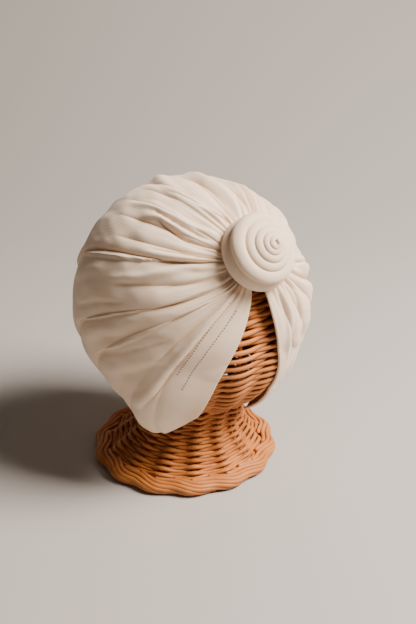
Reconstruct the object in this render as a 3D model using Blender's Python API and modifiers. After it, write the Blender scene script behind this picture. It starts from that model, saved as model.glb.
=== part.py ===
"""A gathered jersey turban with a rolled coil on its forehead, on a woven willow stand.

The turban faces -Y and the stand stands on z = 0, with the middle of the whole over the
origin. Lengths are in millimetres until they reach Blender, which works in metres.
"""

import math

import bmesh
import bpy
from mathutils import Vector

MM = 0.001
FIT_GAP = 0.3

# Where the ball's upright axis stands, so that the whole is centred
STAND_X = -0.25
STAND_Y = 2.59

# The woven ball that carries the turban
BALL_DIAMETER = 132.0
BALL_CENTRE_HEIGHT = 101.5
BALL_WALL = 5.0
BALL_STEPS = 11
NECK_DIAMETER = 60.0
TURNED_SIDES = 32

# The flared foot under it, and the rolled border round the foot. The neck leans, so that the
# foot stands a little off the ball's upright axis.
FOOT_WALL = 4.0
FOOT_FLARE_DIAMETER = 101.0
FOOT_EDGE_HEIGHT = 6.0
FOOT_LEAN_X = -4.2
FOOT_LEAN_Y = 5.7
BORDER_WIDTH = 7.2
BORDER_HEIGHT = 8.6
BORDER_SCALLOPS = 14
SCALLOP_DEPTH = 1.2
BORDER_TURN = 9.1
BORDER_SIDES = 8
SOLE_STRETCH = 1.5

# The jersey crown, larger than the ball and puffed up above it
CROWN_SLACK = 6.5
CROWN_RISE = 10.5
CROWN_DIAMETER = BALL_DIAMETER + 2 * CROWN_SLACK
CROWN_CENTRE_HEIGHT = BALL_CENTRE_HEIGHT + CROWN_RISE
CLOTH = 1.6
CLOTH_ROOM = 1.25
EDGE_TUCK = 2.6
TUCK_PANELS = 1.5
GATHER_DIAMETER = 16.0
GATHER_DIP = 3.4
GATHER_ROWS = 1
FAN_DIAMETER = 37.0
SEAT_DIAMETER = 52.0
PANEL_STEPS = 3
CROWN_ROWS = 20
HANG_START_SHARE = 0.54

# Behind the coil, on the wearer's left, the crown sags inward. Its middle is a place among the
# panels and a share of the way to the hem.
SAG_DEPTH = 4.0
SAG_PANEL = 18.8
SAG_PANELS = 2.4
SAG_ALONG = 0.30
SAG_LENGTH = 0.27

# The rolled coil over the gathers. The crown fans out around its axis, but the roll itself is
# sewn on a little higher, to the wearer's left, and turned that way.
COIL_DIAMETER = 43.0
COIL_ELEVATION = 36.0
COIL_RAISE = 1.2
COIL_ASIDE = 1.2
COIL_TURN = 2.5
COIL_LIFT = 0.6
COIL_START_ANGLE = 60.0
ROLL_DIAMETER = 7.6
ROLL_GAP = 0.15
DOME_SLOPE = 35.0
ROLL_POINTS_PER_TURN = 18
MOST_TURNS = 20
MIDDLE_REACH = 0.6

# Each crease of the crown fans out from under the coil's edge and runs to the hem. The first
# three columns are angles round the coil, from straight up and positive towards the wearer's
# right: where the crease leaves the coil, at a third of its way and at two thirds. Then comes
# the azimuth from the front at which it meets the hem. The share of the way at which it fades
# out, its depth as a share of the deepest, and its reach to either side as a share of the
# neighbouring panel come last.
CREASE_DEPTH = 4.2
CREASE_AT_COIL = 0.45
CREASE_FULL_AT = 0.22
CREASE_FADE_LENGTH = 0.35
CREASES = (
    # rim, near, far, hem azimuth, fade, depth, reach
    (160.0, 158.0, 155.5, 34.0, 1.00, 0.00, 0.50),
    (137.0, 131.5, 133.0, 57.0, 1.00, 0.36, 0.70),
    (132.0, 123.0, 124.0, 78.0, 0.62, 0.50, 0.80),
    (125.5, 108.5, 104.0, 104.0, 1.00, 0.45, 0.60),
    (117.0, 96.5, 87.5, 127.0, 1.00, 0.70, 0.60),
    (100.0, 82.0, 72.0, 139.0, 0.42, 0.45, 0.80),
    (82.0, 63.5, 53.0, 148.0, 1.00, 0.80, 0.60),
    (75.0, 55.0, 45.0, 153.0, 0.44, 0.45, 0.80),
    (63.0, 42.5, 36.0, 157.0, 0.44, 0.70, 0.80),
    (51.0, 31.5, 27.0, 161.0, 0.56, 1.00, 0.90),
    (30.0, 22.0, 19.0, 166.0, 0.40, 0.30, 0.80),
    (11.0, 14.5, 12.0, 172.0, 0.80, 0.90, 0.75),
    (3.0, -2.0, -3.0, -179.0, 0.56, 0.62, 0.90),
    (-13.0, -15.0, -13.0, -173.0, 0.46, 0.55, 0.80),
    (-25.0, -25.0, -21.0, -168.0, 0.56, 0.70, 0.80),
    (-37.0, -34.0, -29.0, -164.0, 0.46, 0.50, 0.80),
    (-50.0, -44.0, -38.0, -159.0, 0.80, 0.95, 0.90),
    (-63.0, -55.0, -47.0, -154.0, 0.46, 0.50, 0.80),
    (-76.0, -67.0, -56.0, -149.0, 0.50, 0.60, 0.80),
    (-89.0, -79.0, -66.0, -142.0, 1.00, 0.80, 0.60),
    (-102.0, -93.0, -82.0, -129.0, 0.46, 0.45, 0.80),
    (-114.0, -108.0, -100.0, -111.0, 1.00, 0.65, 0.60),
    (-126.0, -123.0, -120.0, -86.0, 0.60, 0.48, 0.80),
    (-139.0, -139.0, -138.0, -60.0, 0.80, 0.60, 0.80),
    (-152.0, -154.0, -153.0, -39.0, 0.90, 0.45, 0.80),
    (-168.0, -166.0, -164.0, -23.0, 1.00, 0.00, 0.50),
)

# The hem, by the azimuth from the front: how far it hangs below the crown's centre and how
# far it stands from the upright axis, as shares of the crown's radius.
HEM = (
    # azimuth, drop, reach
    (-180.0, 0.772, 0.690),
    (-135.0, 0.786, 0.697),
    (-100.0, 0.786, 0.703),
    (-82.0, 0.806, 0.703),
    (-68.0, 0.846, 0.686),
    (-56.0, 0.886, 0.662),
    (-44.0, 0.926, 0.630),
    (-34.0, 0.955, 0.602),
    (-27.0, 0.948, 0.594),
    (-23.0, 0.925, 0.605),
    (34.0, 0.800, 0.795),
    (46.0, 0.905, 0.775),
    (54.0, 0.975, 0.758),
    (62.0, 0.985, 0.742),
    (70.0, 0.965, 0.728),
    (77.0, 0.885, 0.712),
    (85.0, 0.812, 0.705),
    (100.0, 0.786, 0.703),
    (135.0, 0.786, 0.697),
    (180.0, 0.772, 0.690),
)

# The foot's outer skin: how far down it is, as a share of the way from its neck to the border,
# and how far out, as a share of the way from the neck's radius to the flare's.
FOOT_FLARE = (
    # down, out
    (0.00, 0.00),
    (0.22, 0.00),
    (0.40, 0.02),
    (0.56, 0.17),
    (0.71, 0.43),
    (0.84, 0.71),
    (1.00, 1.00),
)

# How thick the coil's roll is, by turns from its tail, as a share of its full diameter
ROLL = (
    # turn, thickness
    (0.00, 0.97),
    (0.62, 0.98),
    (1.00, 0.96),
    (1.33, 0.98),
    (1.60, 0.86),
    (2.00, 0.68),
    (2.33, 0.65),
    (3.33, 0.56),
    (4.33, 0.42),
    (5.33, 0.30),
    (6.40, 0.22),
)

# The roll's first two turns: how far it runs from the coil's axis, as a share of the coil's
# radius less half a roll, and its height, as a share of the roll's diameter. The later turns
# each lie beside the one before.
FIRST_TURNS = (
    # turn, reach, height
    (0.00, 0.990, 0.50),
    (0.62, 1.000, 0.50),
    (1.00, 0.985, 1.62),
    (1.33, 0.965, 1.66),
    (1.60, 0.915, 1.72),
    (1.80, 0.815, 1.97),
    (2.00, 0.690, 2.09),
)

CREAM = (0.80, 0.745, 0.665, 1.0)
WILLOW = (0.58, 0.30, 0.125, 1.0)


def clear_scene():
    for leftover in list(bpy.data.objects):
        bpy.data.objects.remove(leftover, do_unlink=True)


def cloth_or_cane(name, colour, roughness):
    material = bpy.data.materials.new(name)
    material.use_nodes = True
    shader = material.node_tree.nodes["Principled BSDF"]
    shader.inputs["Base Color"].default_value = colour
    shader.inputs["Roughness"].default_value = roughness
    shader.inputs["Metallic"].default_value = 0.0
    return material


def smooth(share):
    share = max(0.0, min(1.0, share))
    return share * share * (3.0 - 2.0 * share)


def read_table(rows, at, column):
    """The value in a column at a place in the table's first column, eased between rows."""
    if at <= rows[0][0]:
        return rows[0][column]
    for low, high in zip(rows, rows[1:]):
        if at <= high[0]:
            share = (at - low[0]) / (high[0] - low[0])
            return low[column] + (high[column] - low[column]) * share
    return rows[-1][column]


def direction(azimuth, elevation):
    """A unit vector from an azimuth, 0 at the front and positive towards the wearer's right."""
    around, up = math.radians(azimuth), math.radians(elevation)
    return Vector(
        (-math.sin(around) * math.cos(up), -math.cos(around) * math.cos(up), math.sin(up))
    )


COIL_AXIS = direction(0.0, COIL_ELEVATION)
COIL_TILT = 90.0 - COIL_ELEVATION
COIL_UP = direction(180.0, COIL_TILT)
WEARERS_RIGHT = Vector((-1.0, 0.0, 0.0))


def ball_reach(toward):
    """How far the ball's skin is from the crown's centre along a unit vector."""
    offset = CROWN_CENTRE_HEIGHT - BALL_CENTRE_HEIGHT
    radius = BALL_DIAMETER / 2
    along = offset * toward.z
    return -along + math.sqrt(radius**2 - offset**2 + along**2)


def round_coil(turn, away):
    """The unit vector at an angle round the coil's axis and an angle away from it."""
    around, off = math.radians(turn), math.radians(away)
    outward = math.cos(around) * COIL_UP + math.sin(around) * WEARERS_RIGHT
    return math.cos(off) * COIL_AXIS + math.sin(off) * outward


def hem_point(azimuth):
    """The hem, as a vector from the crown's centre."""
    azimuth = (azimuth + 180.0) % 360.0 - 180.0
    radius = CROWN_DIAMETER / 2
    drop = read_table(HEM, azimuth, 1) * radius
    reach = read_table(HEM, azimuth, 2) * radius
    around = math.radians(azimuth)
    return Vector((-math.sin(around) * reach, -math.cos(around) * reach, -drop))


def angle_across(diameter):
    """The angle from the coil's axis at which the crown is this wide."""
    return math.degrees(math.asin(diameter / CROWN_DIAMETER))


def fan_line(panel):
    """Four unit vectors that a line passes, each a third of its way on, and its hem point."""
    index = min(int(panel), len(CREASES) - 2)
    low, high, share = CREASES[index], CREASES[index + 1], panel - index
    rim, near, far = (low[i] + (high[i] - low[i]) * share for i in range(3))
    hem = hem_point(low[3] + ((high[3] - low[3] + 180.0) % 360.0 - 180.0) * share)
    end = hem.normalized()
    fan_at = angle_across(FAN_DIAMETER)
    third = (math.degrees(end.angle(COIL_AXIS)) - fan_at) / 3.0
    start = round_coil(rim, fan_at)
    return start, round_coil(near, fan_at + third), round_coil(far, fan_at + 2 * third), end, hem


def way_point(panel, along):
    """The unit vector and the hem of a line that runs from the gathers to the hem."""
    start, near, far, end, hem = fan_line(panel)
    if along < 0.0:
        inner = angle_across(GATHER_DIAMETER) / angle_across(FAN_DIAMETER)
        return start.slerp(COIL_AXIS, (inner - 1.0) * along), hem
    t = 3.0 * along
    line = (
        (1.0 - t) * (2.0 - t) * (3.0 - t) / 6.0 * start
        + t * (2.0 - t) * (3.0 - t) / 2.0 * near
        + t * (t - 1.0) * (3.0 - t) / 2.0 * far
        + t * (t - 1.0) * (t - 2.0) / 6.0 * end
    )
    return line.normalized(), hem


def groove(row, width, distance, along):
    """How deep a crease cuts at a distance from its line."""
    fade, depth, reach = row[4:]
    strength = 1.0
    if fade < 1.0:
        strength = smooth((fade - along) / (CREASE_FADE_LENGTH * fade))
    strength *= CREASE_AT_COIL + (1.0 - CREASE_AT_COIL) * smooth(along / CREASE_FULL_AT)
    near = max(0.0, 1.0 - distance / (reach * width))
    return CREASE_DEPTH * depth * strength * near * near


def crease_depth(panel, along):
    """The two creases beside a point cut into the crown together."""
    index = min(int(panel), len(CREASES) - 2)
    here = panel - index
    radius = CROWN_DIAMETER / 2
    left, _ = way_point(index, along)
    right, _ = way_point(index + 1, along)
    width = max(1e-6, left.angle(right) * radius)
    first = groove(CREASES[index], width, here * width, along)
    second = groove(CREASES[index + 1], width, (1.0 - here) * width, along)
    return first + second


def sag(panel, along):
    """How far the crown sags inward behind the coil, on the wearer's left."""
    aside = smooth(1.0 - abs(panel - SAG_PANEL) / SAG_PANELS)
    return SAG_DEPTH * aside * smooth(1.0 - abs(along - SAG_ALONG) / SAG_LENGTH)


def crown_point(panel, along):
    """A point of the crown's outer face, in millimetres from the floor under the ball.

    Below 0, along goes from the coil's edge, at 0, in to the hole of the gathers, at -1.
    """
    radius = CROWN_DIAMETER / 2
    toward, hem = way_point(panel, along)
    from_coil = toward.angle(COIL_AXIS) * radius
    out_of_seat = smooth((from_coil - GATHER_DIAMETER / 2) / (SEAT_DIAMETER - GATHER_DIAMETER) * 2)
    reach = radius - GATHER_DIP * (1.0 - out_of_seat)
    edge = min(panel, len(CREASES) - 1 - panel)
    reach -= EDGE_TUCK * (1.0 - smooth(edge / TUCK_PANELS)) * out_of_seat
    reach -= crease_depth(panel, along) + sag(panel, along)
    hang = smooth((along - HANG_START_SHARE) / (1.0 - HANG_START_SHARE))
    reach += (hem.length - radius) * hang
    closest = ball_reach(toward) + FIT_GAP + CLOTH * CLOTH_ROOM
    reach = max(reach, closest)
    return toward * reach + Vector((0.0, 0.0, CROWN_CENTRE_HEIGHT))


def link(name, mesh, material, collection):
    part = bpy.data.objects.new(name, mesh)
    collection.objects.link(part)
    mesh.materials.append(material)
    return part


def solidify(part, thickness):
    shell = part.modifiers.new("Wall", "SOLIDIFY")
    shell.thickness = thickness * MM
    shell.offset = -1.0
    return shell


def make_crown(material, collection):
    """One piece of jersey, from the gathers under the coil to the hem."""
    columns = (len(CREASES) - 1) * PANEL_STEPS
    shape = bmesh.new()
    rows = CROWN_ROWS + GATHER_ROWS
    bmesh.ops.create_grid(shape, x_segments=columns, y_segments=rows, size=0.5)
    for vertex in shape.verts:
        panel = (vertex.co.x + 0.5) * (len(CREASES) - 1)
        along = ((vertex.co.y + 0.5) * rows - GATHER_ROWS) / CROWN_ROWS
        if along < -1e-6:
            along *= CROWN_ROWS / GATHER_ROWS
        vertex.co = crown_point(panel, along) * MM
    mesh = bpy.data.meshes.new("crown")
    shape.to_mesh(mesh)
    shape.free()
    crown = link("crown", mesh, material, collection)
    solidify(crown, CLOTH)
    mesh.shade_smooth()
    return crown


def roll_places():
    """The roll's centre line, from its tail: reach from the axis, height and thickness."""
    furthest = (COIL_DIAMETER - ROLL_DIAMETER) / 2
    slope = math.radians(DOME_SLOPE)
    places = []
    while len(places) < MOST_TURNS * ROLL_POINTS_PER_TURN:
        turn = len(places) / ROLL_POINTS_PER_TURN
        thick = read_table(ROLL, turn, 1) * ROLL_DIAMETER
        if turn < FIRST_TURNS[-1][0]:
            reach = read_table(FIRST_TURNS, turn, 1) * furthest
            height = read_table(FIRST_TURNS, turn, 2) * ROLL_DIAMETER
        else:
            outer = places[-ROLL_POINTS_PER_TURN]
            apart = (outer[2] + thick) / 2 + ROLL_GAP
            reach = outer[0] - apart * math.cos(slope)
            height = outer[1] + apart * math.sin(slope)
        if reach < MIDDLE_REACH * thick:
            break
        places.append((reach, height, thick))
    return places


def make_coil(material, collection):
    """A thick roll of jersey wound into a domed coil, tail first, from the back to the middle."""
    places = roll_places()
    roll = bpy.data.curves.new("coil_roll", "CURVE")
    roll.dimensions = "3D"
    roll.bevel_depth = ROLL_DIAMETER / 2 * MM
    roll.bevel_resolution = 2
    roll.use_fill_caps = True
    spline = roll.splines.new("POLY")
    spline.points.add(len(places) - 1)
    for index, (reach, height, thick) in enumerate(places):
        around = math.radians(COIL_START_ANGLE) + index / ROLL_POINTS_PER_TURN * math.tau
        place = Vector((math.cos(around) * reach, math.sin(around) * reach, height)) * MM
        point = spline.points[index]
        point.co = (*place, 1.0)
        point.radius = thick / ROLL_DIAMETER
    roll.materials.append(material)
    coil = bpy.data.objects.new("coil_roll", roll)
    collection.objects.link(coil)
    seat = COIL_AXIS * (CROWN_DIAMETER / 2 - GATHER_DIP + FIT_GAP + COIL_LIFT)
    aside = COIL_UP * COIL_RAISE - WEARERS_RIGHT * COIL_ASIDE
    coil.location = (Vector((0.0, 0.0, CROWN_CENTRE_HEIGHT)) + seat + aside) * MM
    coil.rotation_euler = (math.radians(COIL_TILT), 0.0, math.radians(COIL_TURN))
    return coil


def turned_shell(name, profile, wall, material, collection):
    """A profile turned about the Z axis, then given a wall on its inner side."""
    mesh = bpy.data.meshes.new(name)
    points = [(across * MM, 0.0, up * MM) for across, up in profile]
    mesh.from_pydata(points, [(i, i + 1) for i in range(len(points) - 1)], [])
    shell = link(name, mesh, material, collection)
    screw = shell.modifiers.new("Turn", "SCREW")
    screw.steps = screw.render_steps = TURNED_SIDES
    screw.use_merge_vertices = True
    screw.merge_threshold = 0.0001
    screw.use_smooth_shade = True
    solidify(shell, wall)
    return shell


def make_ball(material, collection):
    """The woven head of the stand, open at its neck."""
    radius = BALL_DIAMETER / 2
    last = math.pi - math.asin(NECK_DIAMETER / BALL_DIAMETER)
    profile = []
    for step in range(BALL_STEPS + 1):
        tilt = last * step / BALL_STEPS
        across, up = radius * math.sin(tilt), BALL_CENTRE_HEIGHT + radius * math.cos(tilt)
        profile.append((across, up))
    return turned_shell("wicker_ball", profile, BALL_WALL, material, collection)


def neck_height():
    """The height of the ball's lower edge."""
    radius = BALL_DIAMETER / 2
    return BALL_CENTRE_HEIGHT - math.sqrt(radius**2 - (NECK_DIAMETER / 2) ** 2)


def make_foot(material, collection):
    """The trumpet under the ball, from the neck down to the border."""
    top = neck_height() - FIT_GAP
    neck, edge = NECK_DIAMETER / 2 + FOOT_WALL / 2, FOOT_FLARE_DIAMETER / 2
    profile = []
    for down, out in FOOT_FLARE:
        profile.append((neck + (edge - neck) * out, top - (top - FOOT_EDGE_HEIGHT) * down))
    foot = turned_shell("wicker_foot", profile, FOOT_WALL, material, collection)
    return leaning(foot, top)


def leaning(foot, top):
    """The turned foot, sheared so that only its neck stays on the ball's axis."""
    settled = foot.evaluated_get(bpy.context.evaluated_depsgraph_get())
    mesh = bpy.data.meshes.new_from_object(settled)
    foot.modifiers.clear()
    foot.data = mesh
    for vertex in mesh.vertices:
        share = (top - vertex.co.z / MM) / (top - FOOT_EDGE_HEIGHT)
        vertex.co.x += FOOT_LEAN_X * MM * share
        vertex.co.y += FOOT_LEAN_Y * MM * share
    return foot


def make_border(material, collection):
    """The rolled edge that the stakes' bent ends make, worn flat where it stands."""
    inner = FOOT_FLARE_DIAMETER / 2 + FIT_GAP
    middle = inner + BORDER_WIDTH / 2
    bpy.ops.mesh.primitive_torus_add(
        major_radius=middle * MM,
        minor_radius=BORDER_WIDTH / 2 * MM,
        major_segments=4 * BORDER_SCALLOPS,
        minor_segments=BORDER_SIDES,
    )
    border = bpy.context.object
    border.name = "foot_border"
    for old in list(border.users_collection):
        old.objects.unlink(border)
    collection.objects.link(border)
    border.data.materials.append(material)
    for vertex in border.data.vertices:
        around = math.atan2(vertex.co.y, vertex.co.x)
        across = math.hypot(vertex.co.x, vertex.co.y) / MM
        swell = SCALLOP_DEPTH * math.cos(BORDER_SCALLOPS * around)
        wider = 1.0 + swell * (across - inner) / BORDER_WIDTH / across
        vertex.co.x *= wider
        vertex.co.y *= wider
        stretch = BORDER_HEIGHT / BORDER_WIDTH
        if vertex.co.z < 0.0:
            stretch *= SOLE_STRETCH
        vertex.co.z = max(0.0, vertex.co.z * stretch + BORDER_HEIGHT / 2 * MM)
    border.data.shade_smooth()
    border.location = (FOOT_LEAN_X * MM, FOOT_LEAN_Y * MM, 0.0)
    border.rotation_euler.z = math.radians(BORDER_TURN)
    return border


def main():
    clear_scene()
    collection = bpy.data.collections.new("turban_on_wicker_stand")
    bpy.context.scene.collection.children.link(collection)
    jersey = cloth_or_cane("cream_jersey", CREAM, 0.85)
    roll_jersey = cloth_or_cane("cream_jersey_roll", CREAM, 0.82)
    cane = cloth_or_cane("peeled_willow", WILLOW, 0.55)
    make_crown(jersey, collection)
    make_coil(roll_jersey, collection)
    make_ball(cane, collection)
    make_foot(cane, collection)
    make_border(cane, collection)
    for part in collection.objects:
        part.location += Vector((STAND_X, STAND_Y, 0.0)) * MM


main()
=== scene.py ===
# %% [markdown]
# # A baby's jersey turban on a willow stand
#
# This lesson dresses a plain CAD model. The turban is a cap of gathered cotton jersey with a
# rolled coil sewn over its gathers, and it sits on a ball woven from willow rods. Cloth and
# basketry ask for opposite ways of working: the cloth is one sheet that many folds push in
# and out, and the basket is hundreds of rods that pass over and under each other.

# %% The frame
import math

import bpy
import numpy as np
from mathutils import Matrix, Vector, noise
from mathutils.bvhtree import BVHTree


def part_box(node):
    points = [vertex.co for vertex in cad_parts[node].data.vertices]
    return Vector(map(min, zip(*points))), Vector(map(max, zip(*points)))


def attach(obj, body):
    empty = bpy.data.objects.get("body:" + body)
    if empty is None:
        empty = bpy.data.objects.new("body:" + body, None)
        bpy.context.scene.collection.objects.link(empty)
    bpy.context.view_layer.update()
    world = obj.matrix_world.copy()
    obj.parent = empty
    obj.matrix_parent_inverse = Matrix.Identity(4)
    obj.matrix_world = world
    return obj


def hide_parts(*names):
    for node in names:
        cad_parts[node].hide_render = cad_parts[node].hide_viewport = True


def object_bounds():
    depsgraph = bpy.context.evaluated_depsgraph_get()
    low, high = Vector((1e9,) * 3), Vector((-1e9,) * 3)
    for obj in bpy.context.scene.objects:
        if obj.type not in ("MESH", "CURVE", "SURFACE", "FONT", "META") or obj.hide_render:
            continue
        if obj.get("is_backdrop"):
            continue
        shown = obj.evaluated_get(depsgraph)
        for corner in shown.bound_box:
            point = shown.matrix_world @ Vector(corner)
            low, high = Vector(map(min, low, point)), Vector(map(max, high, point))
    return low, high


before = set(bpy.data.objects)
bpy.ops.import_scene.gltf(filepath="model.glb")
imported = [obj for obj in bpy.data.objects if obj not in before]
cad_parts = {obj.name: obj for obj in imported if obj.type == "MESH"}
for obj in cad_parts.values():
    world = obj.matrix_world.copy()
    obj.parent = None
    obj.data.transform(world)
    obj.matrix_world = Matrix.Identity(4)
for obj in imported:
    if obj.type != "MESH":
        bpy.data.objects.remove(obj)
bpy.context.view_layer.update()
ball_low, ball_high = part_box("wicker_ball")
# Everything below is laid out around the ball's upright axis and moved here at the end
STAND = (np.array(ball_low) + np.array(ball_high)) / 2 * (1.0, 1.0, 0.0)

# %% [markdown]
# ## The camera
#
# The camera stands a little to the wearer's right and looks down on the coil. Its distance
# was found by fitting a circle to the crown's outline, so the lens can be a plain 60 mm. The
# aim is set by two small angles, worked out from where the crown's centre falls in the frame.

# %% The camera
FRAME_WIDE, FRAME_HIGH = 416, 624
LENS_MM, FILM_HIGH_MM = 60.0, 36.0
CROWN_CENTRE = np.array((0.0, 0.0, 0.112))
CAMERA_AZIMUTH, CAMERA_AWAY, CAMERA_UP = math.radians(-34.5), 0.5802, 0.3703
CROWN_IN_FRAME = (192.9, 292.05)

film = bpy.data.cameras.new("studio_camera")
film.lens, film.sensor_fit, film.sensor_height = LENS_MM, "VERTICAL", FILM_HIGH_MM
film.clip_start, film.clip_end = 0.01, 20.0
camera = bpy.data.objects.new("studio_camera", film)
bpy.context.scene.collection.objects.link(camera)
bpy.context.scene.camera = camera

facing = Vector((math.sin(CAMERA_AZIMUTH), -math.cos(CAMERA_AZIMUTH), 0.0))
camera.location = facing * CAMERA_AWAY + Vector((0.0, 0.0, CAMERA_UP)) + Vector(STAND)
pixels_per_slope = FRAME_HIGH * LENS_MM / FILM_HIGH_MM
across = (CROWN_IN_FRAME[0] - FRAME_WIDE / 2) / pixels_per_slope
up = (FRAME_HIGH / 2 - CROWN_IN_FRAME[1]) / pixels_per_slope
to_crown = Vector(CROWN_CENTRE + STAND) - camera.location
dip = math.atan2(to_crown.z, math.hypot(to_crown.x, to_crown.y)) - math.atan(up)
aim = -facing * math.cos(dip) + Vector((0.0, 0.0, math.sin(dip)))
aim = Matrix.Rotation(math.atan(across), 3, "Z") @ aim
camera.rotation_euler = aim.to_track_quat("-Z", "Y").to_euler()
print(f"camera looks down {-math.degrees(dip):.1f} degrees")

# %% [markdown]
# ## The floor and the light
#
# A pale sweep, a floor that curves up into a wall, keeps the object's shadow and nothing
# else. One large soft lamp high on the viewer's right models the folds, as a window would. A
# weak one on the left keeps the shaded side readable.


# %% The floor and the light
def flat_look(name, colour, roughness):
    look = bpy.data.materials.new(name)
    look.use_nodes = True
    shader = look.node_tree.nodes["Principled BSDF"]
    shader.inputs["Base Color"].default_value = (*colour, 1.0)
    shader.inputs["Roughness"].default_value = roughness
    return look


def build_mesh(name, points, faces, look, smooth=True):
    mesh = bpy.data.meshes.new(name)
    mesh.from_pydata((np.asarray(points, dtype=float) + STAND).tolist(), [], faces)
    mesh.validate()
    mesh.materials.append(look)
    if smooth:
        mesh.shade_smooth()
    made = bpy.data.objects.new(name, mesh)
    bpy.context.scene.collection.objects.link(made)
    return made


SWEEP_HALF, SWEEP_BACK, SWEEP_BEND, SWEEP_TALL = 2.6, 1.1, 0.7, 2.4
sweep_points, sweep_faces = [], []
profile = [(-2.2, 0.0), (SWEEP_BACK - SWEEP_BEND, 0.0)]
for step in range(1, 13):
    turn = math.pi / 2 * step / 12
    profile.append(
        (
            SWEEP_BACK - SWEEP_BEND + SWEEP_BEND * math.sin(turn),
            SWEEP_BEND * (1.0 - math.cos(turn)),
        )
    )
profile.append((SWEEP_BACK, SWEEP_TALL))
away = -facing
aside = Vector((-away.y, away.x, 0.0))
for back, high in profile:
    for side in (-SWEEP_HALF, SWEEP_HALF):
        sweep_points.append(away * back + aside * side + Vector((0.0, 0.0, high)))
for row in range(len(profile) - 1):
    sweep_faces.append((2 * row, 2 * row + 2, 2 * row + 3, 2 * row + 1))
sweep = build_mesh(
    "pale_sweep", sweep_points, sweep_faces, flat_look("pale_paper", (0.44, 0.415, 0.39), 0.9)
)
sweep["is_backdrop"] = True


def lamp(name, kind_size, energy, colour, place, target):
    light = bpy.data.lights.new(name, "AREA")
    light.shape, light.size, light.size_y = "RECTANGLE", *kind_size
    light.energy, light.color = energy, colour
    holder = bpy.data.objects.new(name, light)
    bpy.context.scene.collection.objects.link(holder)
    holder.location = place
    holder.rotation_euler = (Vector(target) - Vector(place)).to_track_quat("-Z", "Y").to_euler()
    return holder


KEY_PLACE, FILL_PLACE = (0.47, -0.56, 0.93), (-0.95, -0.10, 0.45)
lamp("window_light", (0.52, 0.52), 44.0, (1.0, 0.91, 0.82), KEY_PLACE, (0.0, 0.0, 0.10))
lamp("left_fill", (0.8, 0.8), 0.3, (1.0, 0.86, 0.76), FILL_PLACE, (0.0, 0.0, 0.10))
world = bpy.data.worlds.new("room")
world.use_nodes = True
world.node_tree.nodes["Background"].inputs["Color"].default_value = (0.52, 0.43, 0.37, 1.0)
world.node_tree.nodes["Background"].inputs["Strength"].default_value = 0.12
bpy.context.scene.world = world

# %% [markdown]
# ## Directions on the crown
#
# Every fold leaves the coil and runs to the hem. So a place on the crown is best given by two
# angles: how far it is from the coil's axis, and its turn round that axis, from straight up
# and positive towards the wearer's right.

# %% Directions on the crown
CROWN_RADIUS, COIL_ELEVATION = 0.0725, math.radians(36.0)
COIL_AXIS = np.array((0.0, -math.cos(COIL_ELEVATION), math.sin(COIL_ELEVATION)))
COIL_UP = np.array((0.0, math.sin(COIL_ELEVATION), math.cos(COIL_ELEVATION)))
WEARERS_RIGHT = np.array((-1.0, 0.0, 0.0))


def unit(vectors):
    return vectors / np.maximum(np.linalg.norm(vectors, axis=-1, keepdims=True), 1e-12)


def round_coil(turn, away):
    """Unit vectors at angles, in degrees, round the coil's axis and away from it."""
    around, off = np.radians(turn)[..., None], np.radians(away)[..., None]
    outward = np.cos(around) * COIL_UP + np.sin(around) * WEARERS_RIGHT
    return np.cos(off) * COIL_AXIS + np.sin(off) * outward


def from_coil(toward):
    """The two angles of unit vectors, in degrees: away from the coil's axis, and round it."""
    away = np.degrees(np.arccos(np.clip(toward @ COIL_AXIS, -1.0, 1.0)))
    turn = np.degrees(np.arctan2(toward @ WEARERS_RIGHT, toward @ COIL_UP))
    return away, turn


def ease(share):
    share = np.clip(share, 0.0, 1.0)
    return share * share * (3.0 - 2.0 * share)


# %% [markdown]
# ## The fan of creases
#
# The same 26 lines as in the CAD model carry the cloth. Each has its turn where it leaves the
# coil, its turns at one and two thirds of the way, and the azimuth at which it meets the hem.
# The last three numbers say where the crease fades, how deep it is and how wide.

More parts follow.
